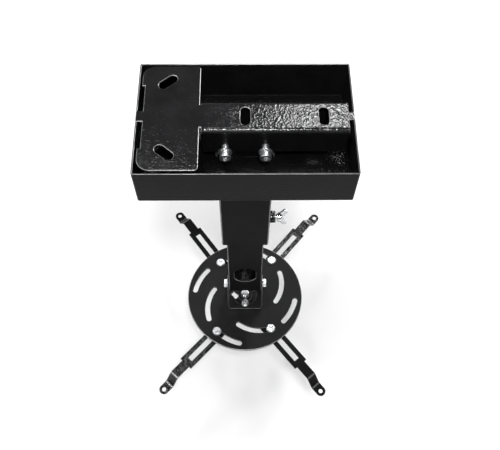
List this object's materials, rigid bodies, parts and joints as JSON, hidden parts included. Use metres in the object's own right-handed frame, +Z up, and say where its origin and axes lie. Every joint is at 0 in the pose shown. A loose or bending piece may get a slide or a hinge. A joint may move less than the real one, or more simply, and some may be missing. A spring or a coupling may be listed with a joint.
{
  "type": "projector ceiling mount",
  "caption": "Ceiling mount for a projector: folded T plate in an open box housing, telescoping rectangular tube, tilting bracket and a slotted disc with sliding arms.",
  "frame": {"origin": "centre of the ceiling face, on the axis of the drop tube", "axes": "+Z up to the ceiling, +X towards the clamp screw, +Y to the back, away from the column bolts' heads"},
  "size_m": [0.2215, 0.2735, 0.4148],
  "materials": {
    "black_paint": "gloss black powder coat with a fine hammered texture",
    "zinc": "bright zinc plate",
    "chrome": "polished"
  },
  "bodies": {
    "ceiling_unit": {"ceiling_plate": "black_paint", "housing_box": "black_paint", "outer_tube": "black_paint", "column_bolts": "zinc", "column_washers": "zinc", "column_nuts": "zinc", "clamp_nut": "black_paint"},
    "clamp_screw": {"clamp_screw": "chrome"},
    "drop_tube": {"inner_tube": "black_paint"},
    "tilt_head": {"tilt_bracket": "black_paint", "pitch_bolt": "zinc", "pitch_washers": "zinc", "pitch_nut": "zinc", "swivel_bolt": "zinc", "swivel_washers": "zinc", "swivel_nut": "zinc"},
    "disc": {"mounting_disc": "black_paint", "lock_bolt": "zinc", "lock_washer": "zinc", "lock_nut": "zinc"},
    "arm_bolt_back_left": {"arm_bolt_back_left": "zinc"},
    "arm_nut_back_left": {"arm_washer_back_left": "zinc", "arm_nut_back_left": "zinc"},
    "arm_back_left": {"arm_back_left": "black_paint"},
    "arm_bolt_back_right": {"arm_bolt_back_right": "zinc"},
    "arm_nut_back_right": {"arm_washer_back_right": "zinc", "arm_nut_back_right": "zinc"},
    "arm_back_right": {"arm_back_right": "black_paint"},
    "arm_bolt_front_left": {"arm_bolt_front_left": "zinc"},
    "arm_nut_front_left": {"arm_washer_front_left": "zinc", "arm_nut_front_left": "zinc"},
    "arm_front_left": {"arm_front_left": "black_paint"},
    "arm_bolt_front_right": {"arm_bolt_front_right": "zinc"},
    "arm_nut_front_right": {"arm_washer_front_right": "zinc", "arm_nut_front_right": "zinc"},
    "arm_front_right": {"arm_front_right": "black_paint"}
  },
  "joints": [
    {"name": "telescope", "type": "slide", "parent": "ceiling_unit", "child": "drop_tube", "axis": [0, 0, 1], "range_m": [-0.075, 0.06]},
    {"name": "clamp_turn", "type": "hinge", "parent": "ceiling_unit", "child": "clamp_screw", "pos_m": [0.036, 0, -0.174], "axis": [1, 0, 0], "continuous": true},
    {"name": "pitch", "type": "hinge", "parent": "drop_tube", "child": "tilt_head", "pos_m": [0, 0, -0.352], "axis": [1, 0, 0], "range_deg": [-30, 30]},
    {"name": "swivel", "type": "hinge", "parent": "tilt_head", "child": "disc", "pos_m": [0, 0, -0.394], "axis": [0, 0, 1], "range_deg": [-100, 100]},
    {"name": "slot_travel_back_left", "type": "hinge", "parent": "disc", "child": "arm_bolt_back_left", "pos_m": [-0.01903, 0.00239, -0.394], "axis": [0, 0, 1], "range_deg": [-53, 0]},
    {"name": "arm_pivot_back_left", "type": "hinge", "parent": "arm_bolt_back_left", "child": "arm_nut_back_left", "pos_m": [-0.03378, 0.04825, -0.4], "axis": [0, 0, -1], "range_deg": [-25, 25]},
    {"name": "arm_slide_back_left", "type": "slide", "parent": "arm_nut_back_left", "child": "arm_back_left", "axis": [0.585, -0.8111, 0], "range_m": [-0.0007, 0.022]},
    {"name": "slot_travel_back_right", "type": "hinge", "parent": "disc", "child": "arm_bolt_back_right", "pos_m": [-0.00785, 0.00431, -0.394], "axis": [0, 0, 1], "range_deg": [0, 30]},
    {"name": "arm_pivot_back_right", "type": "hinge", "parent": "arm_bolt_back_right", "child": "arm_nut_back_right", "pos_m": [0.03738, 0.05145, -0.4], "axis": [0, 0, 1], "range_deg": [-25, 25]},
    {"name": "arm_slide_back_right", "type": "slide", "parent": "arm_nut_back_right", "child": "arm_back_right", "axis": [-0.6428, -0.766, 0], "range_m": [-0.0042, 0.022]},
    {"name": "slot_travel_front_left", "type": "hinge", "parent": "disc", "child": "arm_bolt_front_left", "pos_m": [0.00785, -0.00431, -0.394], "axis": [0, 0, 1], "range_deg": [0, 30]},
    {"name": "arm_pivot_front_left", "type": "hinge", "parent": "arm_bolt_front_left", "child": "arm_nut_front_left", "pos_m": [-0.03738, -0.05145, -0.4], "axis": [0, 0, 1], "range_deg": [-25, 25]},
    {"name": "arm_slide_front_left", "type": "slide", "parent": "arm_nut_front_left", "child": "arm_front_left", "axis": [0.6896, 0.7242, 0], "range_m": [-0.008, 0.022]},
    {"name": "slot_travel_front_right", "type": "hinge", "parent": "disc", "child": "arm_bolt_front_right", "pos_m": [0.01903, -0.00239, -0.394], "axis": [0, 0, 1], "range_deg": [-53, 0]},
    {"name": "arm_pivot_front_right", "type": "hinge", "parent": "arm_bolt_front_right", "child": "arm_nut_front_right", "pos_m": [0.03378, -0.04825, -0.4], "axis": [0, 0, -1], "range_deg": [-25, 25]},
    {"name": "arm_slide_front_right", "type": "slide", "parent": "arm_nut_front_right", "child": "arm_front_right", "axis": [-0.632, 0.7749, 0], "range_m": [-0.0057, 0.022]}
  ]
}
